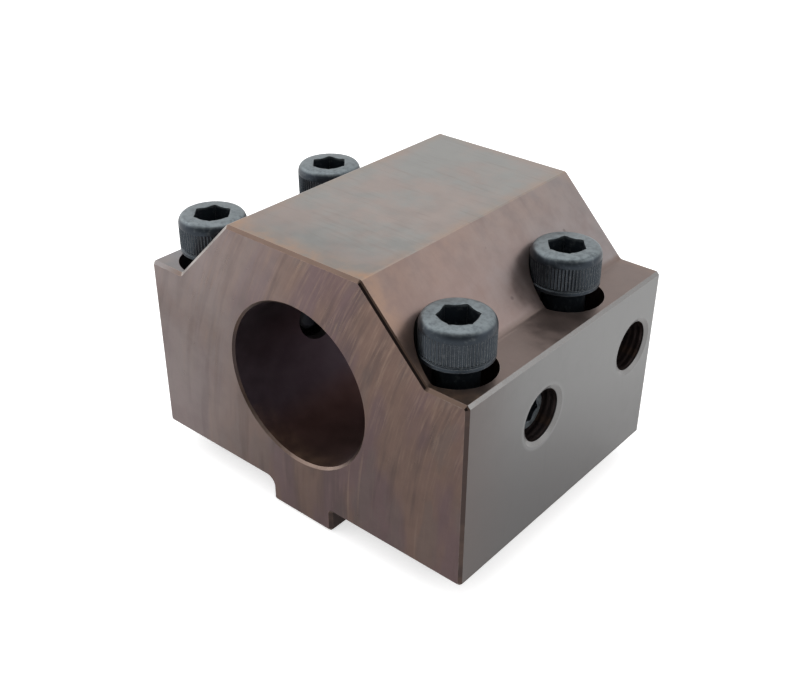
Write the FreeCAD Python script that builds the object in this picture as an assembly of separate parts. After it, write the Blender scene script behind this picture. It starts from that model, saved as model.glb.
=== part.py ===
import FreeCAD, Part
import math
import os

from FreeCAD import Vector

# Axial tool holder block, in millimetres. X runs across the block, Y runs from its front
# face to its back, and Z runs up from the underside of the key. The origin lies under the
# middle of the block, in the plane of the key's underside and of the cap screws' tips.

# Block
block_width = 94.0
block_depth = 74.5
shoulder_height = 46.1      # mounting face up to the shoulders
ridge_height = 17.6         # shoulders up to the top face
top_width = 38.6
ridge_foot_width = 73.2     # width of the ridge where its slopes meet the shoulders
foot_fillet = 1.2           # between each slope and its shoulder
edge_break = 0.7            # chamfer on the outer edges
top_edge_break = 0.25       # chamfer between the top face and the slopes

# Locating key, one piece with the block
key_width = 19.0
key_height = 6.0
key_roots = {"right": 0.6, "left": 1.9}     # fillets into the mounting face, the left one a cove

# Tool bore, from front to back
bore_diameter = 40.0
bore_height = 30.5          # mounting face up to the bore's axis
bore_chamfer = 0.55

# Cap screws that hold the block on its turret, one at each corner
cap_screw_diameter = 10.0
cap_screw_length = 55.0     # under the head
cap_thread_root = 8.16      # diameter, which the thread is drawn at
cap_thread_length = 32.0
cap_screw_spacing_x = 72.0
cap_screw_spacing_y = 40.0
cap_screw_front = 10.5      # front face back to the first pair's axes
cap_head_diameter = 16.0
cap_head_height = 9.0
cap_head_round = 1.3        # drawn as two flats
cap_socket_width = 8.0      # across the flats
cap_socket_depth = 5.0
cap_socket_turns = {"front_right": 44.0, "rear_right": 10.0, "front_left": 11.0, "rear_left": 12.0}
cap_point_chamfer = 0.8
counterbore_clearance = 0.75
counterbore_depth = 11.0    # below the shoulder
shank_clearance = 0.5

# Set screws that clamp the tool's shank, two in each side
set_screw_diameter = 12.38  # over the thread's roots, which the threads are drawn at
set_screw_length = 16.0
set_screw_height = 29.7     # mounting face up to the screws' axes, a little below the bore's
set_screw_front = 27.5      # front face back to the first pair's axis
set_screw_spacing = 37.5
set_screw_fit = 0.05        # radial clearance in the tapped hole
set_socket_width = 6.0
set_socket_depth = 6.4
set_point_diameter = 8.8
set_cup_diameter = 7.4
set_cup_depth = 1.6
set_screw_insets = {"front_right": 3.7, "rear_right": 9.0, "front_left": 9.0, "rear_left": 9.0}
set_socket_turns = {"front_right": 15.0, "rear_right": 40.0, "front_left": 0.0, "rear_left": 25.0}
tapped_hole_chamfer = 1.1   # radial
tapped_hole_chamfer_depth = 0.6

# Worked out from the sizes above
overcut = 1.0               # how far a cutting shape runs past the surface it cuts
mounting_face_z = key_height
shoulder_z = mounting_face_z + shoulder_height
top_z = shoulder_z + ridge_height
bore_z = mounting_face_z + bore_height
set_screw_z = mounting_face_z + set_screw_height
front_y = -block_depth / 2
side_x = block_width / 2
counterbore_floor_z = shoulder_z - counterbore_depth
counterbore_radius = cap_head_diameter / 2 + counterbore_clearance
clearance_hole_radius = cap_screw_diameter / 2 + shank_clearance
tapped_hole_radius = set_screw_diameter / 2

side_signs = {"right": 1, "left": -1}
cap_rows_y = {
    "front": front_y + cap_screw_front,
    "rear": front_y + cap_screw_front + cap_screw_spacing_y,
}
set_rows_y = {
    "front": front_y + set_screw_front,
    "rear": front_y + set_screw_front + set_screw_spacing,
}


def closed_face(points):
    """A flat face whose outline runs through the points."""
    return Part.Face(Part.makePolygon(points + [points[0]]))


def edges_along_y(solid, x, z):
    """The straight edges that run from front to back through (x, z)."""
    found = []
    for edge in solid.Edges:
        ends = [vertex.Point for vertex in edge.Vertexes]
        on_line = all(math.hypot(end.x - x, end.z - z) < 0.01 for end in ends)
        if len(ends) == 2 and on_line:
            found.append(edge)
    return found


def edges_in_plane_y(solid, y):
    """The edges that lie wholly in the plane at this Y."""
    return [edge for edge in solid.Edges
            if abs(edge.BoundBox.YMin - y) < 0.01 and abs(edge.BoundBox.YMax - y) < 0.01]


def turned(profile, axis=Vector(0, 0, 1)):
    """A solid turned about the axis through the origin, from (radius, height) points."""
    outline = closed_face([Vector(radius, 0, height) for radius, height in profile])
    solid = outline.revolve(Vector(0, 0, 0), Vector(0, 0, 1), 360)
    solid.Placement = FreeCAD.Placement(Vector(0, 0, 0), FreeCAD.Rotation(Vector(0, 0, 1), axis))
    return solid


def hex_socket(width_across_flats, depth, mouth_z, turn):
    """The space that a hexagon key fills, opening upwards at mouth_z."""
    corner_radius = width_across_flats / math.sqrt(3)
    corners = []
    for corner in range(6):
        angle = math.radians(turn + 60 * corner)
        x = corner_radius * math.cos(angle)
        y = corner_radius * math.sin(angle)
        corners.append(Vector(x, y, mouth_z - depth))
    return closed_face(corners).extrude(Vector(0, 0, depth + overcut))


def block_outline():
    """The block's outline from the front, key included, with its corners still sharp."""
    half_key = key_width / 2
    half_foot = ridge_foot_width / 2
    half_top = top_width / 2
    right_half = [
        (half_key, 0),
        (half_key, mounting_face_z),
        (side_x, mounting_face_z),
        (side_x, shoulder_z),
        (half_foot, shoulder_z),
        (half_top, top_z),
    ]
    left_half = [(-x, z) for x, z in reversed(right_half)]
    return [Vector(x, front_y, z) for x, z in right_half + left_half]


def block_blank():
    """The block and its key before any hole, with its edges broken and its roots rounded."""
    blank = closed_face(block_outline()).extrude(Vector(0, block_depth, 0))

    for side, sign in side_signs.items():
        key_x = sign * key_width / 2
        blank = blank.makeFillet(key_roots[side], edges_along_y(blank, key_x, mounting_face_z))
        blank = blank.makeFillet(foot_fillet, edges_along_y(blank, sign * ridge_foot_width / 2, shoulder_z))
        blank = blank.makeChamfer(top_edge_break, edges_along_y(blank, sign * top_width / 2, top_z))
        for x, z in ((key_x, 0), (sign * side_x, mounting_face_z), (sign * side_x, shoulder_z)):
            blank = blank.makeChamfer(edge_break, edges_along_y(blank, x, z))

    for end_y in (front_y, front_y + block_depth):
        blank = blank.makeChamfer(edge_break, edges_in_plane_y(blank, end_y))
    return blank


def tool_bore():
    """The space of the tool bore, with the chamfer at each mouth."""
    radius = bore_diameter / 2
    half = block_depth / 2
    bore = turned([
        (0, -half - overcut),
        (radius + bore_chamfer + overcut, -half - overcut),
        (radius, -half + bore_chamfer),
        (radius, half - bore_chamfer),
        (radius + bore_chamfer + overcut, half + overcut),
        (0, half + overcut),
    ], Vector(0, 1, 0))
    bore.translate(Vector(0, 0, bore_z))
    return bore


def cap_screw_hole(x, y):
    """The stepped hole of one cap screw: clearance for its shank, and a counterbore."""
    hole = turned([
        (0, mounting_face_z - overcut),
        (clearance_hole_radius, mounting_face_z - overcut),
        (clearance_hole_radius, counterbore_floor_z),
        (counterbore_radius, counterbore_floor_z),
        (counterbore_radius, top_z + overcut),
        (0, top_z + overcut),
    ])
    hole.translate(Vector(x, y, 0))
    return hole


def tapped_hole(sign, y):
    """The hole of one set screw, from the side face into the tool bore."""
    mouth_growth = tapped_hole_chamfer * (1 + overcut / tapped_hole_chamfer_depth)
    hole = turned([
        (0, 0),
        (tapped_hole_radius, 0),
        (tapped_hole_radius, side_x - tapped_hole_chamfer_depth),
        (tapped_hole_radius + mouth_growth, side_x + overcut),
        (0, side_x + overcut),
    ], Vector(sign, 0, 0))
    hole.translate(Vector(0, y, set_screw_z))
    return hole


def tool_block():
    """The finished block."""
    holes = [tool_bore()]
    for sign in side_signs.values():
        for y in cap_rows_y.values():
            holes.append(cap_screw_hole(sign * cap_screw_spacing_x / 2, y))
        for y in set_rows_y.values():
            holes.append(tapped_hole(sign, y))
    return block_blank().cut(holes)


def cap_screw(x, y, socket_turn):
    """One cap screw, its tip in the plane of the key's underside."""
    shank_radius = cap_screw_diameter / 2
    root_radius = cap_thread_root / 2
    head_radius = cap_head_diameter / 2
    head_z = cap_screw_length
    top = head_z + cap_head_height
    round_middle = cap_head_round * (1 - math.sqrt(0.5))
    screw = turned([
        (0, 0),
        (root_radius - cap_point_chamfer, 0),
        (root_radius, cap_point_chamfer),
        (root_radius, cap_thread_length),
        (shank_radius, cap_thread_length),
        (shank_radius, head_z),
        (head_radius, head_z),
        (head_radius, top - cap_head_round),
        (head_radius - round_middle, top - round_middle),
        (head_radius - cap_head_round, top),
        (0, top),
    ])
    screw = screw.cut(hex_socket(cap_socket_width, cap_socket_depth, top, socket_turn))
    screw.translate(Vector(x, y, 0))
    return screw


def set_screw(sign, y, inset, socket_turn):
    """One set screw, its socket end set in by inset from the side face."""
    radius = tapped_hole_radius - set_screw_fit
    point_radius = set_point_diameter / 2
    socket_end = side_x - inset
    point_end = socket_end - set_screw_length
    screw = turned([
        (0, point_end + set_cup_depth),
        (set_cup_diameter / 2, point_end),
        (point_radius, point_end),
        (radius, point_end + radius - point_radius),
        (radius, socket_end),
        (0, socket_end),
    ])
    screw = screw.cut(hex_socket(set_socket_width, set_socket_depth, socket_end, socket_turn))
    screw.rotate(Vector(0, 0, 0), Vector(0, 1, 0), sign * 90)
    screw.translate(Vector(0, y, set_screw_z))
    return screw


def sub_parts():
    """Every node's name and solid."""
    parts = {"tool_block": tool_block()}
    for side, sign in side_signs.items():
        for row, y in cap_rows_y.items():
            place = row + "_" + side
            parts["cap_screw_" + place] = cap_screw(sign * cap_screw_spacing_x / 2, y, cap_socket_turns[place])
        for row, y in set_rows_y.items():
            place = row + "_" + side
            parts["set_screw_" + place] = set_screw(sign, y, set_screw_insets[place], set_socket_turns[place])
    return parts


os.makedirs("parts", exist_ok=True)
for name, solid in sub_parts().items():
    solid.exportStep("parts/" + name + ".step")
    print(name, "solids", len(solid.Solids), "valid", solid.isValid(), "volume", round(solid.Volume, 1))
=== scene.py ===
import math

import bmesh
import bpy
from mathutils import Matrix, Vector


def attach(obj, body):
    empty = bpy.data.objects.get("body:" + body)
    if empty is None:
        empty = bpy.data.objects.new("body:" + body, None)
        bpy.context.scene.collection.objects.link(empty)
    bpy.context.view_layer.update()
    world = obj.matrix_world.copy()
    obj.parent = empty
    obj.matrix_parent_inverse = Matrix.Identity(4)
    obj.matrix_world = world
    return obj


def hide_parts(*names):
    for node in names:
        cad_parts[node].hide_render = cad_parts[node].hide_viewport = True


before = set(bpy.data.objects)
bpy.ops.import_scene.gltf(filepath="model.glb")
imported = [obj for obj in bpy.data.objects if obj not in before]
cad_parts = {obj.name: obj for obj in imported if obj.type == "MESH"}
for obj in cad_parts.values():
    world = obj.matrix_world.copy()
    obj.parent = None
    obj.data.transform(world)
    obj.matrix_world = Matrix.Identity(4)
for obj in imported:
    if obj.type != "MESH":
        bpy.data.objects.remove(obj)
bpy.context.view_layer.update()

# Axial tool holder block. The block itself is the CAD solid with a milled and oxidised steel
# finish; its screws are modelled here. Lengths in the dictionaries are in millimetres.

mm = 0.001
sides = {"right": 1, "left": -1}
sharpAngle = math.radians(28)       # edges bent more than this stay sharp


def deselectAll():
    if bpy.context.mode != "OBJECT":
        bpy.ops.object.mode_set(mode="OBJECT")
    bpy.ops.object.select_all(action="DESELECT")


def makeActive(piece):
    deselectAll()
    piece.select_set(True)
    bpy.context.view_layer.objects.active = piece


def selectVertices(piece, wanted):
    # in edit mode: selects the vertices for which wanted(x, y, z) is true, in millimetres
    mesh = bmesh.from_edit_mesh(piece.data)
    bpy.ops.mesh.select_all(action="DESELECT")
    for vertex in mesh.verts:
        vertex.select_set(wanted(*(vertex.co / mm)))
    mesh.select_flush(True)
    bmesh.update_edit_mesh(piece.data)


def latheBody(name, profile, segments):
    # a circle raised ring by ring through the (radius, height) points, closed at both ends
    deselectAll()
    radius, height = profile[0]
    bpy.ops.mesh.primitive_circle_add(vertices=segments, radius=radius * mm, fill_type="NGON",
                                      location=(0, 0, height * mm))
    body = bpy.context.object
    body.name = name
    bpy.ops.object.transform_apply(location=True, rotation=True, scale=True)
    bpy.ops.object.mode_set(mode="EDIT")
    bpy.ops.mesh.select_all(action="SELECT")
    for nextRadius, nextHeight in profile[1:]:
        rise = (nextHeight - height) * mm
        grow = nextRadius / radius
        bpy.ops.mesh.extrude_region_move(TRANSFORM_OT_translate={"value": (0, 0, rise)})
        bpy.ops.transform.resize(value=(grow, grow, 1), center_override=(0, 0, 0))
        radius, height = nextRadius, nextHeight
    bpy.ops.mesh.select_all(action="SELECT")
    bpy.ops.mesh.normals_make_consistent(inside=False)
    bpy.ops.object.mode_set(mode="OBJECT")
    return body


def combine(body, tool, operation):
    # boolean with the tool, which is used up
    makeActive(body)
    step = body.modifiers.new("combine", "BOOLEAN")
    step.operation = operation
    step.solver = "EXACT"
    step.object = tool
    bpy.ops.object.modifier_apply(modifier=step.name)
    bpy.data.objects.remove(tool)
    return body


def roundedCorner(radius, top, across, down, steps):
    # the points of an oval round at the top rim of a turned body, with a slight edge to the flat top
    points = []
    for step in range(steps + 1):
        angle = math.radians(64 * step / steps)
        points.append((radius - across * (1 - math.cos(angle)), top - down * (1 - math.sin(angle))))
    return points + [(radius - across, top)]


def threadedRod(name, root, crest, crestFlat, pitch, bottom, top):
    # one turn's profile wound up with a Screw modifier, then cut square at both ends
    deselectAll()
    depth = crest - root
    bpy.ops.mesh.primitive_plane_add(size=1, rotation=(math.pi / 2, 0, 0))
    rod = bpy.context.object
    rod.name = name
    rod.scale = (depth * mm, pitch * mm, 1)
    rod.location = ((root + depth / 2) * mm, 0, (bottom - pitch) * mm)
    bpy.ops.object.transform_apply(location=True, rotation=True, scale=True)
    bpy.ops.object.mode_set(mode="EDIT")
    bpy.ops.mesh.select_all(action="SELECT")
    bpy.ops.mesh.delete(type="ONLY_FACE")
    selectVertices(rod, lambda x, y, z: x < root + depth / 2)
    bpy.ops.mesh.delete(type="EDGE")
    selectVertices(rod, lambda x, y, z: x > root + depth / 2)
    bpy.ops.transform.resize(value=(1, 1, crestFlat / pitch),
                             center_override=(0, 0, (bottom - pitch) * mm))
    bpy.ops.object.mode_set(mode="OBJECT")

    winding = rod.modifiers.new("winding", "SCREW")
    winding.axis = "Z"
    winding.screw_offset = pitch * mm
    winding.iterations = math.ceil((top - bottom) / pitch) + 2
    winding.steps = 36
    winding.render_steps = 36
    bpy.ops.object.modifier_apply(modifier=winding.name)

    bpy.ops.object.mode_set(mode="EDIT")
    bpy.ops.mesh.select_all(action="SELECT")
    bpy.ops.mesh.remove_doubles(threshold=0.005 * mm)
    for height, normal in ((bottom, -1), (top, 1)):
        bpy.ops.mesh.select_all(action="SELECT")
        bpy.ops.mesh.bisect(plane_co=(0, 0, height * mm), plane_no=(0, 0, normal),
                            clear_outer=True, use_fill=True)
    bpy.ops.mesh.select_all(action="SELECT")
    bpy.ops.mesh.normals_make_consistent(inside=False)
    bpy.ops.object.mode_set(mode="OBJECT")
    return rod


def hexagonTool(name, acrossFlats, bottom, top):
    deselectAll()
    bpy.ops.mesh.primitive_cylinder_add(vertices=6, radius=acrossFlats / math.sqrt(3) * mm,
                                        depth=(top - bottom) * mm, location=(0, 0, (top + bottom) / 2 * mm))
    tool = bpy.context.object
    tool.name = name
    bpy.ops.object.transform_apply(location=True, rotation=True, scale=True)
    return tool


def cutSocket(screw, acrossFlats, depth, top, mouth):
    # a broached hexagon over a drilled hole, with a countersunk mouth
    combine(screw, hexagonTool("hexagon", acrossFlats, top - depth, top + 1), "DIFFERENCE")
    drillRadius = acrossFlats / 2 - 0.02
    drill = latheBody("drill", [
        (0.05, top - depth - acrossFlats * 0.27),
        (drillRadius, top - depth),
        (drillRadius, top - depth + 0.2),
    ], 48)
    combine(screw, drill, "DIFFERENCE")
    mouthRadius = acrossFlats / math.sqrt(3) + mouth
    steepness = 0.65
    countersink = latheBody("countersink", [
        (mouthRadius - 1.6, top - 1.6 * steepness),
        (mouthRadius + 1.0, top + steepness),
    ], 96)
    combine(screw, countersink, "DIFFERENCE")


def placeCopy(pattern, name, matrix, node, body, material):
    piece = pattern.copy()
    piece.data = pattern.data.copy()
    piece.name = name
    piece.data.name = name
    bpy.context.collection.objects.link(piece)
    piece.matrix_world = matrix
    makeActive(piece)
    bpy.ops.object.transform_apply(location=True, rotation=True, scale=True)
    piece.data.materials.clear()
    piece.data.materials.append(material)
    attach(piece, body)
    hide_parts(node)
    return piece


def addNode(tree, kind, inputs=None, **settings):
    node = tree.nodes.new("ShaderNode" + kind)
    for key, value in settings.items():
        setattr(node, key, value)
    for key, value in (inputs or {}).items():
        if isinstance(value, bpy.types.NodeSocket):
            tree.links.new(value, node.inputs[key])
        else:
            node.inputs[key].default_value = value
    return node


def calculate(tree, operation, *values):
    return addNode(tree, "Math", dict(enumerate(values)), operation=operation).outputs[0]


def fade(tree, value, start, end, low=0.0, high=1.0):
    # runs smoothly from low at start to high at end
    inputs = {"Value": value, "From Min": start, "From Max": end, "To Min": low, "To Max": high}
    return addNode(tree, "MapRange", inputs, interpolation_type="SMOOTHSTEP").outputs["Result"]


def noise(tree, vector, scale, detail=3.0, roughness=0.5):
    inputs = {"Vector": vector, "Scale": scale, "Detail": detail, "Roughness": roughness}
    return addNode(tree, "TexNoise", inputs).outputs["Fac"]


def blend(tree, factor, first, second, mode="MIX"):
    inputs = {"Factor": factor, 6: first, 7: second}
    return addNode(tree, "Mix", inputs, data_type="RGBA", blend_type=mode).outputs[2]


def mixValue(tree, factor, first, second):
    return addNode(tree, "Mix", {0: factor, 2: first, 3: second}, data_type="FLOAT").outputs[0]


def vectorOf(tree, x, y, z):
    return addNode(tree, "CombineXYZ", {0: x, 1: y, 2: z}).outputs[0]


def newMaterial(name):
    material = bpy.data.materials.new(name)
    material.use_nodes = True
    tree = material.node_tree
    return material, tree, tree.nodes["Principled BSDF"]


def edgeMask(tree, radius):
    # 1 on edges, 0 on flat faces: where edges are rubbed, and on the block also where edge highlights are
    #                              painted
    softened = addNode(tree, "Bevel", {"Radius": radius * mm}, samples=6).outputs[0]
    straight = addNode(tree, "NewGeometry").outputs["Normal"]
    likeness = addNode(tree, "VectorMath", {0: softened, 1: straight}, operation="DOT_PRODUCT")
    return fade(tree, likeness.outputs["Value"], 0.995, 0.86)


# colours are linear; lengths say where the patterns lie on the block
blockFinish = {
    "frontBrown": (0.148, 0.095, 0.077, 1),
    "frontPurple": (0.123, 0.080, 0.081, 1),
    # painted sheen on the left of the ends
    "frontPaintedSheen": (0.226, 0.187, 0.180, 1),
    "frontStreak": (0.235, 0.160, 0.122, 1),
    "frontShade": (0.072, 0.050, 0.048, 1),
    "frontOlive": (0.117, 0.090, 0.083, 1),
    "chamferBrown": (0.110, 0.072, 0.054, 1),
    "keyPaintedShade": (0.044, 0.027, 0.024, 1),
    "topBrown": (0.292, 0.245, 0.224, 1),
    "topGrey": (0.258, 0.254, 0.242, 1),
    "slopeWarm": (0.256, 0.182, 0.162, 1),
    "slopeGrey": (0.250, 0.239, 0.243, 1),
    "shoulderShadedBrown": (0.180, 0.138, 0.124, 1),
    "shoulderGrey": (0.252, 0.244, 0.252, 1),
    "sideGrey": (0.220, 0.219, 0.217, 1),
    "sidePaintedShade": (0.127, 0.122, 0.121, 1),
    "sideShadedBrown": (0.135, 0.112, 0.105, 1),
    "boreBrown": (0.160, 0.124, 0.143, 1),
    "boreWarm": (0.215, 0.110, 0.075, 1),
    "boreMouth": (0.062, 0.040, 0.032, 1),
    "boreLip": (0.205, 0.150, 0.126, 1),
    "holePaintedShade": (0.065, 0.048, 0.046, 1),
    "copper": (0.340, 0.235, 0.180, 1),
    "paleEdge": (0.330, 0.305, 0.285, 1),
    "rimOrange": (0.320, 0.205, 0.140, 1),
    "burnished": (0.016, 0.010, 0.009, 1),
    "cornerBrown": (0.046, 0.033, 0.031, 1),
    "darkSpot": (0.100, 0.075, 0.070, 1),
    "halfWidth": 47.0,
    "halfDepth": 37.25,
    "shoulderHeight": 52.1,
    "keyHeight": 6.0,
    "cutterRadius": 115.0,      # of the arcs that the face mill left on the front and back
    "cutterHeight": 8.0,
    "boreHeight": 36.5,
    "boreRadius": 20.0,
    "setScrewHeight": 35.7,
    "setScrewRows": (-9.75, 27.75),
    "tappedRadius": 6.19,
    "threadPitch": 1.5,
    "turningPitch": 0.35,       # of the fine rings in the bore
    "reliefHeight": 0.02,
    "metallic": 0.85,
    "roughness": 0.33,
}

screwFinish = {
    "black": (0.031, 0.039, 0.049, 1),
    # paler tops: partly wear, partly painted light
    "top": (0.182, 0.210, 0.223, 1),
    "worn": (0.300, 0.320, 0.325, 1),
    "headTop": 64.0,
    "setScrewTop": 43.0,        # above this height everything belongs to the cap screws
    "socketEnds": 36.0,         # further out than this lie the set screws' socket ends
    "reliefHeight": 0.02,
    "metallic": 0.80,
    "roughness": 0.38,
}


def makeBlockSteel(finish):
    halfWidth = finish["halfWidth"]
    halfDepth = finish["halfDepth"]
    shoulderHeight = finish["shoulderHeight"]
    keyHeight = finish["keyHeight"]
    boreRadius = finish["boreRadius"]
    tappedRadius = finish["tappedRadius"]
    material, tree, shader = newMaterial("milledBrownSteel")
    coordinates = addNode(tree, "TexCoord")
    position = addNode(tree, "VectorMath", {0: coordinates.outputs["Object"], "Scale": 1000.0},
                       operation="SCALE").outputs[0]
    x, y, z = addNode(tree, "SeparateXYZ", {0: position}).outputs
    normal = coordinates.outputs["Normal"]
    normalX, normalY, normalZ = addNode(tree, "SeparateXYZ", {0: normal}).outputs

    def add(*values):
        return calculate(tree, "ADD", *values)

    def times(*values):
        return calculate(tree, "MULTIPLY", *values)

    def size(value):
        return calculate(tree, "ABSOLUTE", value)

    def squareFrom(value, middle):
        return calculate(tree, "POWER", calculate(tree, "SUBTRACT", value, middle), 2.0)

    def distance(first, firstMiddle, second, secondMiddle):
        both = add(squareFrom(first, firstMiddle), squareFrom(second, secondMiddle))
        return calculate(tree, "SQRT", both)

    def shaded(colour, tone):
        return blend(tree, 1.0, colour, vectorOf(tree, tone, tone, tone), "MULTIPLY")

    def facingAlong(direction):
        likeness = addNode(tree, "VectorMath", {0: normal, 1: direction}, operation="DOT_PRODUCT")
        return fade(tree, likeness.outputs["Value"], 0.96, 0.99)

    # which kind of face this is
    front = fade(tree, size(normalY), 0.80, 0.95)
    side = times(fade(tree, size(normalX), 0.80, 0.95), fade(tree, size(x), 12.0, 14.0))
    upper = fade(tree, normalZ, 0.60, 0.69)
    slope = times(upper, fade(tree, normalZ, 0.90, 0.80))
    shoulder = times(upper, fade(tree, z, shoulderHeight + 1.4, shoulderHeight + 0.4))
    fromBore = distance(x, 0.0, z, finish["boreHeight"])
    inBore = fade(tree, fromBore, boreRadius + 0.25, boreRadius + 0.05)
    fromHole = calculate(tree, "MINIMUM", *[distance(y, row, z, finish["setScrewHeight"])
                                            for row in finish["setScrewRows"]])
    inHole = times(fade(tree, size(x), boreRadius + 0.6, boreRadius + 1.2),
                   fade(tree, size(x), halfWidth - 0.4, halfWidth - 0.7))
    inHole = times(inHole, fade(tree, fromHole, tappedRadius + 0.25, tappedRadius + 0.05))
    atHole = fade(tree, fromHole, tappedRadius + 2.2, tappedRadius + 1.4)

    # milling marks: arcs across the ends, fine straight lines on the sides and the upper faces
    bulge = calculate(tree, "SUBTRACT", finish["cutterRadius"] ** 2, squareFrom(z, finish["cutterHeight"]))
    arc = add(x, calculate(tree, "SQRT", bulge))
    fineArcs = noise(tree, vectorOf(tree, arc, times(z, 0.075), y), 1.5, 4.0, 0.62)
    longArcs = noise(tree, vectorOf(tree, arc, times(z, 0.030), add(y, 40.0)), 0.85, 2.0, 0.45)
    broadArcs = noise(tree, vectorOf(tree, arc, times(z, 0.12), y), 0.28, 3.0, 0.55)
    sideLines = noise(tree, vectorOf(tree, x, y, times(z, 0.05)), 1.3, 3.0, 0.6)
    upperLines = noise(tree, vectorOf(tree, times(x, 0.10), y, times(z, 0.10)), 0.9, 4.0, 0.6)
    patches = noise(tree, position, 0.060, 5.0, 0.60)
    mottle = noise(tree, position, 0.22, 5.0, 0.60)
    grain = noise(tree, position, 6.0, 2.0, 0.6)

    # colour of the ends: brown and purple mixed, with painted light that makes them greyer to the left and
    # paler towards the top
    streaks = times(fade(tree, fineArcs, 0.46, 0.80), fade(tree, z, 18.0, 52.0, 0.16, 1.0))
    streaks = add(streaks, times(fade(tree, longArcs, 0.60, 0.76), 0.55))
    shades = fade(tree, broadArcs, 0.50, 0.34)
    purple = noise(tree, vectorOf(tree, arc, times(z, 0.25), y), 0.11, 3.0, 0.5)
    olive = noise(tree, vectorOf(tree, arc, times(z, 0.35), add(y, 90.0)), 0.13, 4.0, 0.55)
    # painted light: the ends turn greyer towards the left, in patches
    paintedLeftSheen = fade(tree, add(x, times(z, -0.25)), 0.0, -50.0)
    paintedLeftSheen = times(paintedLeftSheen, fade(tree, patches, 0.30, 0.60, 0.6, 1.0))
    endColour = blend(tree, fade(tree, purple, 0.42, 0.60), finish["frontBrown"], finish["frontPurple"])
    endColour = blend(tree, fade(tree, olive, 0.50, 0.62, 0.0, 0.5), endColour, finish["frontOlive"])
    endColour = blend(tree, times(paintedLeftSheen, 0.85), endColour, finish["frontPaintedSheen"])
    endColour = blend(tree, times(shades, fade(tree, paintedLeftSheen, 0.0, 1.0, 0.42, 0.18)), endColour,
                      finish["frontShade"])
    endColour = blend(tree, times(streaks, fade(tree, paintedLeftSheen, 0.0, 1.0, 0.65, 0.28)), endColour,
                      finish["frontStreak"])
    # painted light: paler towards the top
    paler = add(fade(tree, z, 5.0, 30.0, 0.97, 0.88), fade(tree, z, 35.0, 68.0, 0.0, 0.24))
    endColour = shaded(endColour, paler)

    # colour of the upper faces: a little darker near the front
    topColour = blend(tree, fade(tree, patches, 0.38, 0.62), finish["topBrown"], finish["topGrey"])
    slopePatches = add(times(patches, 80.0), times(mottle, 30.0))
    slopeColour = blend(tree, fade(tree, add(times(y, 0.7), slopePatches), 10.0, 115.0),
                        finish["slopeWarm"], finish["slopeGrey"])
    upperColour = blend(tree, slope, topColour, slopeColour)
    # painted shade: the right shoulder is darker and browner than the left one
    shoulderColour = blend(tree, fade(tree, x, 0.0, -30.0), finish["shoulderShadedBrown"], finish["shoulderGrey"])
    upperColour = blend(tree, shoulder, upperColour, shoulderColour)
    lined = times(fade(tree, upperLines, 0.50, 0.75), fade(tree, slope, 0.0, 1.0, 0.16, 0.10))
    upperColour = blend(tree, lined, upperColour, finish["frontBrown"])
    upperColour = shaded(upperColour, fade(tree, fade(tree, y, -10.0, -37.0), 0.0, 1.0, 1.0, 0.86))

    # colour of the sides, with painted light and shade: paler towards the top and the back, darker and
    # browner towards the front
    lit = add(fade(tree, y, -50.0, 45.0, 0.0, 0.5), fade(tree, z, keyHeight, 52.0, 0.0, 0.5))
    sideColour = blend(tree, fade(tree, lit, 0.15, 0.85), finish["sidePaintedShade"], finish["sideGrey"])
    sideColour = blend(tree, fade(tree, y, -16.0, -40.0, 0.0, 0.75), sideColour, finish["sideShadedBrown"])
    sideColour = blend(tree, fade(tree, sideLines, 0.58, 0.8, 0.0, 0.10), sideColour, finish["frontShade"])
    # painted shade: darker at the foot of the sides
    sideColour = blend(tree, fade(tree, z, keyHeight + 1.5, keyHeight, 0.0, 0.75), sideColour,
                       finish["frontShade"])

    # each face gets its own
    # painted shade: the key under the block is darker
    colour = blend(tree, fade(tree, z, keyHeight + 0.6, keyHeight - 0.4),
                   finish["frontBrown"], finish["keyPaintedShade"])
    colour = blend(tree, side, colour, sideColour)
    colour = blend(tree, upper, colour, upperColour)
    colour = blend(tree, front, colour, endColour)
    # painted light and shade: the bore is darker to the left and paler to the right
    boreColour = shaded(finish["boreBrown"], fade(tree, x, -10.0, 20.0, 0.76, 1.62))
    boreColour = blend(tree, fade(tree, z, 23.0, 17.2, 0.0, 0.6), boreColour, finish["boreWarm"])
    colour = blend(tree, inBore, colour, boreColour)
    # painted shade: the tapped holes are darker inside
    colour = blend(tree, inHole, colour, finish["holePaintedShade"])

    # warm tint at the ends of the upper faces, small dark spots, mottling all over
    rim = add(fade(tree, y, -30.0, -36.5), fade(tree, y, 33.0, 37.0, 0.0, 0.3))
    rim = add(rim, times(fade(tree, size(x), 15.5, 19.2), fade(tree, z, 60.0, 69.0, 0.0, 0.45)))
    rim = times(rim, times(upper, fade(tree, mottle, 0.35, 0.62, 0.30, 0.90)))
    rim = times(rim, fade(tree, size(normalY), 0.55, 0.30))
    rim = times(rim, times(fade(tree, slope, 0.0, 1.0, 0.9, 0.5), fade(tree, x, -30.0, -22.0, 0.25, 1.0)))
    colour = blend(tree, rim, colour, finish["rimOrange"])
    spots = addNode(tree, "TexVoronoi", {"Vector": position, "Scale": 0.10, "Randomness": 1.0})
    spotMask = fade(tree, spots.outputs["Distance"], 0.060, 0.025, 0.0, 0.5)
    colour = blend(tree, times(spotMask, upper), colour, finish["darkSpot"])
    colour = shaded(colour, fade(tree, mottle, 0.28, 0.72, 0.93, 1.07))

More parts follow.
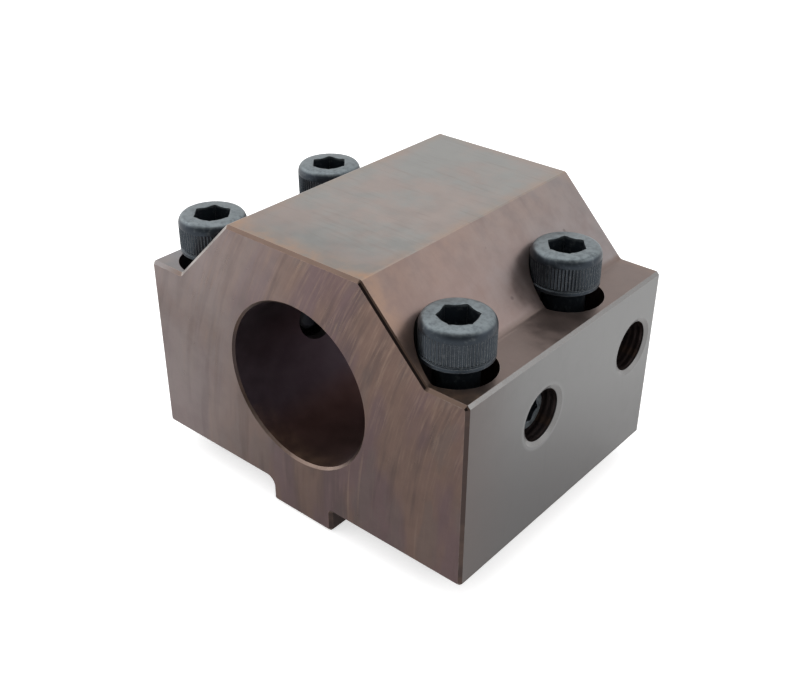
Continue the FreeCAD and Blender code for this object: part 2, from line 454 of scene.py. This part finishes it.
    # chamfers: brown round the ends, darker round the bore with its lower lip painted paler as a
    # reflection, grey on the sides
    chamfer =times(fade(tree, size(normalY), 0.55, 0.65), fade(tree, size(normalY), 0.85, 0.75))
    colour = blend(tree, times(chamfer, fade(tree, x, -45.0, -36.0, 0.35, 0.85)), colour,
                   finish["chamferBrown"])
    lip = times(fade(tree, z, 27.0, 19.0), fade(tree, mottle, 0.34, 0.56, 0.55, 1.0))
    mouthColour = blend(tree, lip, finish["boreMouth"], finish["boreLip"])
    boreMouth = times(chamfer, fade(tree, fromBore, boreRadius + 1.4, boreRadius + 1.0))
    colour = blend(tree, times(boreMouth, 0.85), colour, mouthColour)
    greyEdge = times(calculate(tree, "MAXIMUM", times(upper, shoulder), atHole),
                     fade(tree, size(x), halfWidth - 0.85, halfWidth - 0.60))
    greyEdge = times(greyEdge, fade(tree, grain, 0.30, 0.55, 0.45, 1.0))
    colour = blend(tree, greyEdge, colour, finish["sideGrey"])

    # edges rubbed to copper or pale steel in places, which also serves as painted highlights along the
    # edges
    patchy = fade(tree, noise(tree, position, 0.45, 4.0, 0.65), 0.42, 0.62, 0.10, 0.85)
    nicks = fade(tree, noise(tree, position, 1.9, 3.0, 0.7), 0.60, 0.68)
    worn = times(edgeMask(tree, 0.24), times(calculate(tree, "MAXIMUM", patchy, nicks),
                                             calculate(tree, "SUBTRACT", 1.0, times(side, atHole))))
    rubbedAndHighlightColour = blend(tree, fade(tree, size(x), halfWidth - 9.0, halfWidth - 3.0),
                         finish["copper"], finish["paleEdge"])
    colour = blend(tree, worn, colour, rubbedAndHighlightColour)

    # on the front, the left slope's edge has a painted pale reflection, the right one is burnished and the
    # right corner dark
    aboveShoulder = fade(tree, z, shoulderHeight - 3.1, shoulderHeight - 1.1)
    leftSlopeReflection = times(facingAlong((-0.50, -0.71, 0.50)), aboveShoulder)
    colour = blend(tree, times(leftSlopeReflection, 0.8), colour, finish["paleEdge"])
    rightSlopeEdge = times(facingAlong((0.50, -0.71, 0.50)), aboveShoulder)
    outerPart = fade(tree, y, 0.47 - halfDepth, 0.35 - halfDepth, 0.0, 0.96)
    colour = blend(tree, times(rightSlopeEdge, outerPart), colour, finish["burnished"])
    cornerWear = noise(tree, vectorOf(tree, 3.0, 0.0, z), 0.16, 3.0, 0.55)
    corner = times(facingAlong((0.71, -0.71, 0.0)), fade(tree, cornerWear, 0.42, 0.68, 0.92, 0.40))
    colour = blend(tree, corner, colour, finish["cornerBrown"])
    tree.links.new(colour, shader.inputs["Base Color"])

    # threads in the tapped holes, turning rings in the bore, marks and grain elsewhere
    threadWave = calculate(tree, "SINE", times(x, 2 * math.pi / finish["threadPitch"]))
    boreWave = calculate(tree, "SINE", times(y, 2 * math.pi / finish["turningPitch"]))
    relief = times(fineArcs, times(front, 0.6))
    relief = add(relief, times(grain, 0.25))
    relief = add(relief, times(upperLines, times(upper, 0.25)))
    relief = add(relief, times(sideLines, times(side, 0.20)))
    relief = add(relief, times(threadWave, times(inHole, 6.0)))
    relief = add(relief, times(boreWave, times(inBore, 0.12)))
    bump = addNode(tree, "Bump", {"Height": relief, "Strength": 0.5,
                                  "Distance": finish["reliefHeight"] * mm})
    tree.links.new(bump.outputs[0], shader.inputs["Normal"])

    dull = fade(tree, mottle, 0.3, 0.7, finish["roughness"] - 0.05, finish["roughness"] + 0.07)
    dull = add(dull, times(streaks, times(front, -0.05)))
    tree.links.new(dull, shader.inputs["Roughness"])
    shader.inputs["Metallic"].default_value = finish["metallic"]
    return material


def makeBlackOxide(finish):
    material, tree, shader = newMaterial("blackOxideSteel")
    coordinates = addNode(tree, "TexCoord")
    position = addNode(tree, "VectorMath", {0: coordinates.outputs["Object"], "Scale": 1000.0},
                       operation="SCALE").outputs[0]
    across, _, height = addNode(tree, "SeparateXYZ", {0: position}).outputs
    facing = addNode(tree, "SeparateXYZ", {0: coordinates.outputs["Normal"]}).outputs[0]
    mottle = noise(tree, position, 0.9, 5.0, 0.65)
    speckle = noise(tree, position, 5.0, 3.0, 0.7)

    # the heads' tops are paler, partly worn and partly painted light; the set screws' socket ends are paler
    # as a painted glint; edges are rubbed
    paleWearAndLight = fade(tree, height, finish["headTop"] - 0.9, finish["headTop"] - 0.1)
    farOut = fade(tree, calculate(tree, "ABSOLUTE", across), finish["socketEnds"],
                  finish["socketEnds"] + 1.0)
    low = fade(tree, height, finish["setScrewTop"] + 1.0, finish["setScrewTop"])
    faceOn = fade(tree, calculate(tree, "ABSOLUTE", facing), 0.90, 0.97)
    # painted glint on the set screws' socket ends
    socketEnd = calculate(tree, "MULTIPLY", calculate(tree, "MULTIPLY", farOut, low), faceOn)
    paleWearAndLight = calculate(tree, "MAXIMUM", paleWearAndLight, socketEnd)
    paleWearAndLight = calculate(tree, "MULTIPLY", paleWearAndLight, fade(tree, mottle, 0.30, 0.60, 0.45, 1.0))
    colour = blend(tree, paleWearAndLight, finish["black"], finish["top"])
    colour = blend(tree, fade(tree, mottle, 0.50, 0.78, 0.0, 0.25), colour, finish["worn"])
    rubbed = calculate(tree, "MULTIPLY", edgeMask(tree, 0.3), fade(tree, speckle, 0.40, 0.65, 0.1, 0.8))
    colour = blend(tree, rubbed, colour, finish["worn"])
    tree.links.new(colour, shader.inputs["Base Color"])
    bump = addNode(tree, "Bump", {"Height": speckle, "Strength": 0.35,
                                  "Distance": finish["reliefHeight"] * mm})
    tree.links.new(bump.outputs[0], shader.inputs["Normal"])
    dull = fade(tree, mottle, 0.3, 0.7, finish["roughness"] - 0.06, finish["roughness"] + 0.10)
    tree.links.new(dull, shader.inputs["Roughness"])
    shader.inputs["Metallic"].default_value = finish["metallic"]
    return material


blockSteel = makeBlockSteel(blockFinish)
blackOxide = makeBlackOxide(screwFinish)
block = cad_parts["tool_block"]
block.material_slots[0].material = blockSteel
print("finishes made")


capScrew = {
    "rootRadius": 4.08,
    "crestRadius": 4.96,
    "crestFlat": 0.22,
    "pitch": 1.5,
    "threadLength": 32.0,
    "threadRunout": (0.6, 0.3),     # below and above the thread's end
    "tipChamfer": 0.9,
    "shankRadius": 4.97,
    "length": 55.0,
    "headRadius": 7.97,
    "headHeight": 9.0,
    "neckRound": 0.6,
    "headRound": (1.45, 2.1),       # across and down
    "footChamfer": 0.3,
    "bandTop": 1.15,                # plain band at the foot of the head
    "grooveDepth": 0.28,
    "grooveHeights": (-0.1, 0.08, 0.22, 0.5),       # over the band's top, from edge to edge
    "knurlTop": 6.5,
    "knurlRunout": 0.35,
    "knurlDepth": 0.24,
    "ridges": 64,
    "socket": 8.0,
    "socketDepth": 5.0,
    "socketMouth": -0.34,           # past the hexagon's corners
    "x": 36.0,
    "rows": {"front": -26.75, "rear": 13.25},
    "turns": {"front_right": 44, "rear_right": 10, "front_left": 11, "rear_left": 12},
    # the rear screws stand loose in their holes and lean to the left, in degrees about this height
    "leans": {"front_right": 0, "rear_right": 0.85, "front_left": 0, "rear_left": 0.85},
    "leanHeight": 13.0,
}


def makeCapScrew(size):
    foot = size["length"]
    top = foot + size["headHeight"]
    head = size["headRadius"]
    shank = size["shankRadius"]
    neck = size["neckRound"]
    runoutBelow, runoutAbove = size["threadRunout"]
    groove = head - size["grooveDepth"]
    grooveFoot, grooveStart, grooveEnd, knurlFoot = [
        foot + size["bandTop"] + height for height in size["grooveHeights"]]
    knurlTop = foot + size["knurlTop"]
    profile = [
        (size["rootRadius"], size["threadLength"] - runoutBelow),
        (shank, size["threadLength"] + runoutAbove),
        (shank, foot - neck),
        (shank + 0.3 * neck, foot - 0.3 * neck),
        (shank + neck, foot),
        (head - size["footChamfer"], foot),
        (head, foot + size["footChamfer"]),
        (head, grooveFoot),
        (groove, grooveStart),
        (groove, grooveEnd),
        (head, knurlFoot),
        (head, knurlTop),
        (head, knurlTop + size["knurlRunout"]),
    ]
    profile += roundedCorner(head, top, *size["headRound"], 6)
    screw = latheBody("capScrewPattern", profile, 2 * size["ridges"])

    # straight knurl: every other vertex of its two rings is pressed in
    step = math.pi / size["ridges"]

    def inValley(x, y, z):
        return (knurlFoot - 0.01 < z < knurlTop + 0.01
                and round(math.atan2(y, x) / step - 0.5 * size["ridges"]) % 2 == 0)

    bpy.ops.object.mode_set(mode="EDIT")
    selectVertices(screw, inValley)
    press = (head - size["knurlDepth"]) / head
    bpy.ops.transform.resize(value=(press, press, 1), center_override=(0, 0, 0))
    bpy.ops.object.mode_set(mode="OBJECT")

    cutSocket(screw, size["socket"], size["socketDepth"], top, size["socketMouth"])

    thread = threadedRod("thread", size["rootRadius"], size["crestRadius"], size["crestFlat"],
                         size["pitch"], -0.5, size["threadLength"])
    envelope = latheBody("envelope", [
        (size["crestRadius"] + 0.05 - size["tipChamfer"], 0),
        (size["crestRadius"] + 0.05, size["tipChamfer"]),
        (size["crestRadius"] + 0.05, size["threadLength"] + 1),
    ], 96)
    combine(thread, envelope, "INTERSECT")
    combine(screw, thread, "UNION")
    makeActive(screw)
    bpy.ops.object.shade_smooth_by_angle(angle=sharpAngle)
    return screw


pattern = makeCapScrew(capScrew)
for side, sign in sides.items():
    for row, rowY in capScrew["rows"].items():
        node = row + "_" + side
        turn = math.radians(capScrew["turns"][node] - 30)
        lean = math.radians(capScrew["leans"][node])
        lift = capScrew["rootRadius"] * math.sin(lean)      # keeps the tip off the floor
        pivot = Matrix.Translation(Vector((0, 0, capScrew["leanHeight"])) * mm)
        leaning = pivot @ Matrix.Rotation(-lean, 4, "Y") @ pivot.inverted()
        matrix = (Matrix.Translation(Vector((sign * capScrew["x"], rowY, lift)) * mm) @ leaning
                  @ Matrix.Rotation(turn, 4, "Z"))
        placeCopy(pattern, "capScrew_" + node, matrix, "cap_screw_" + node, "holder",
                  blackOxide)
bpy.data.objects.remove(pattern)
print("cap screws made")


setScrew = {
    "rootRadius": 5.25,
    "crestRadius": 6.13,
    "crestFlat": 0.25,
    "pitch": 1.5,
    "length": 16.0,
    "faceRadius": 4.7,
    "pointRadius": 4.4,
    "cupRadius": 3.7,
    "cupDepth": 1.6,
    "socket": 6.0,
    "socketDepth": 6.4,
    "socketMouth": -0.2,
    "sideX": 47.0,
    "height": 35.7,
    "rows": {"front": -9.75, "rear": 27.75},
    "insets": {"front_right": 3.7, "rear_right": 9.0, "front_left": 9.0, "rear_left": 9.0},
    "turns": {"front_right": 15, "rear_right": 40, "front_left": 0, "rear_left": 25},
}


def makeSetScrew(size):
    length = size["length"]
    crest = size["crestRadius"]
    screw = threadedRod("setScrewPattern", size["rootRadius"], crest, size["crestFlat"],
                        size["pitch"], -0.5, length + 0.5)
    envelope = latheBody("envelope", [
        (size["pointRadius"], 0),
        (crest + 0.005, crest - size["pointRadius"]),
        (crest + 0.005, length - crest + size["faceRadius"]),
        (size["faceRadius"], length),
    ], 96)
    combine(screw, envelope, "INTERSECT")
    cup = latheBody("cup", [
        (size["cupRadius"] * 2, -size["cupDepth"]),
        (0.05, size["cupDepth"]),
    ], 64)
    combine(screw, cup, "DIFFERENCE")
    cutSocket(screw, size["socket"], size["socketDepth"], length, size["socketMouth"])
    makeActive(screw)
    bpy.ops.object.shade_smooth_by_angle(angle=sharpAngle)
    return screw


pattern = makeSetScrew(setScrew)
for side, sign in sides.items():
    for row, rowY in setScrew["rows"].items():
        node = row + "_" + side
        point = setScrew["sideX"] - setScrew["insets"][node] - setScrew["length"]
        spot = Vector((sign * point, rowY, setScrew["height"])) * mm
        turn = math.radians(setScrew["turns"][node] - 30)
        matrix = (Matrix.Translation(spot) @ Matrix.Rotation(sign * math.pi / 2, 4, "Y")
                  @ Matrix.Rotation(turn, 4, "Z"))
        placeCopy(pattern, "setScrew_" + node, matrix, "set_screw_" + node, "set_screw_" + node,
                  blackOxide)
bpy.data.objects.remove(pattern)
print("set screws made")


studio = {
    "floorColour": (0.80, 0.80, 0.80, 1),
    "floorGlow": {"seen": 0.60, "mirrored": 0.25},
    "worldLight": 0.85,
    "worldMirrored": (1.0, 0.25),       # all round, and in the dark side of the room
    "darkSide": (0.551, -0.657, 0.515),
    "lamps": {
        # name: (place in metres, size in metres, watts)
        "rightLamp": ((0.52, 0.30, 0.30), 0.40, 0.5),
        "leftLamp": ((-0.60, -0.20, 0.35), 0.70, 1.8),
        "topLamp": ((-0.15, 0.20, 0.70), 0.60, 0.8),
    },
    "cameraPlace": (0.146667, -0.175961, 0.170147),
    "cameraTurn": (58.9414, -0.5211, 40.0535),
    "cameraLens": 48.5276,
}


def makeFloor(size):
    deselectAll()
    bpy.ops.mesh.primitive_plane_add(size=6, location=(0, 0, 0))
    floor = bpy.context.object
    floor.name = "studioFloor"
    material, tree, shader = newMaterial("studioFloor")
    tree.nodes.remove(shader)
    rays = addNode(tree, "LightPath")
    seen = calculate(tree, "MULTIPLY", rays.outputs["Is Camera Ray"], size["floorGlow"]["seen"])
    mirrored = calculate(tree, "MULTIPLY", rays.outputs["Is Glossy Ray"], size["floorGlow"]["mirrored"])
    paper = addNode(tree, "BsdfDiffuse", {"Color": size["floorColour"]})
    brightness = calculate(tree, "ADD", seen, mirrored)
    glow = addNode(tree, "Emission", {"Color": (1, 1, 1, 1), "Strength": brightness})
    both = addNode(tree, "AddShader", {0: paper.outputs[0], 1: glow.outputs[0]})
    tree.links.new(both.outputs[0], tree.nodes["Material Output"].inputs["Surface"])
    floor.data.materials.append(material)


def makeWorld(size):
    world = bpy.data.worlds.new("studioWorld")
    world.use_nodes = True
    bpy.context.scene.world = world
    tree = world.node_tree
    background = tree.nodes["Background"]
    background.inputs["Color"].default_value = (1, 1, 1, 1)
    rays = addNode(tree, "LightPath").outputs
    direction = addNode(tree, "TexCoord").outputs["Generated"]
    likeness = addNode(tree, "VectorMath", {0: direction, 1: size["darkSide"]},
                       operation="DOT_PRODUCT").outputs["Value"]
    mirrored = fade(tree, likeness, 0.45, 0.90, *size["worldMirrored"])
    strength = mixValue(tree, rays["Is Glossy Ray"], size["worldLight"], mirrored)
    seen = calculate(tree, "MAXIMUM", rays["Is Camera Ray"], rays["Is Transmission Ray"])
    tree.links.new(mixValue(tree, seen, strength, 1.0), background.inputs["Strength"])


def addLamp(name, place, size, watts):
    lamp = bpy.data.lights.new(name, "AREA")
    lamp.shape = "SQUARE"
    lamp.size = size
    lamp.energy = watts
    item = bpy.data.objects.new(name, lamp)
    bpy.context.collection.objects.link(item)
    item.location = place
    aim = Vector((0, 0, 0.03)) - Vector(place)
    item.rotation_euler = aim.to_track_quat("-Z", "Y").to_euler()


def addCamera(size):
    camera = bpy.data.cameras.new("camera")
    camera.sensor_width = 36
    camera.lens = size["cameraLens"]
    camera.clip_start = 0.01
    camera.clip_end = 20
    item = bpy.data.objects.new("camera", camera)
    bpy.context.collection.objects.link(item)
    item.location = size["cameraPlace"]
    item.rotation_euler = [math.radians(angle) for angle in size["cameraTurn"]]
    bpy.context.scene.camera = item


makeFloor(studio)
makeWorld(studio)
for lampName, (place, lampSize, watts) in studio["lamps"].items():
    addLamp(lampName, place, lampSize, watts)
addCamera(studio)
bpy.context.scene.view_settings.view_transform = "Standard"
print("studio made")
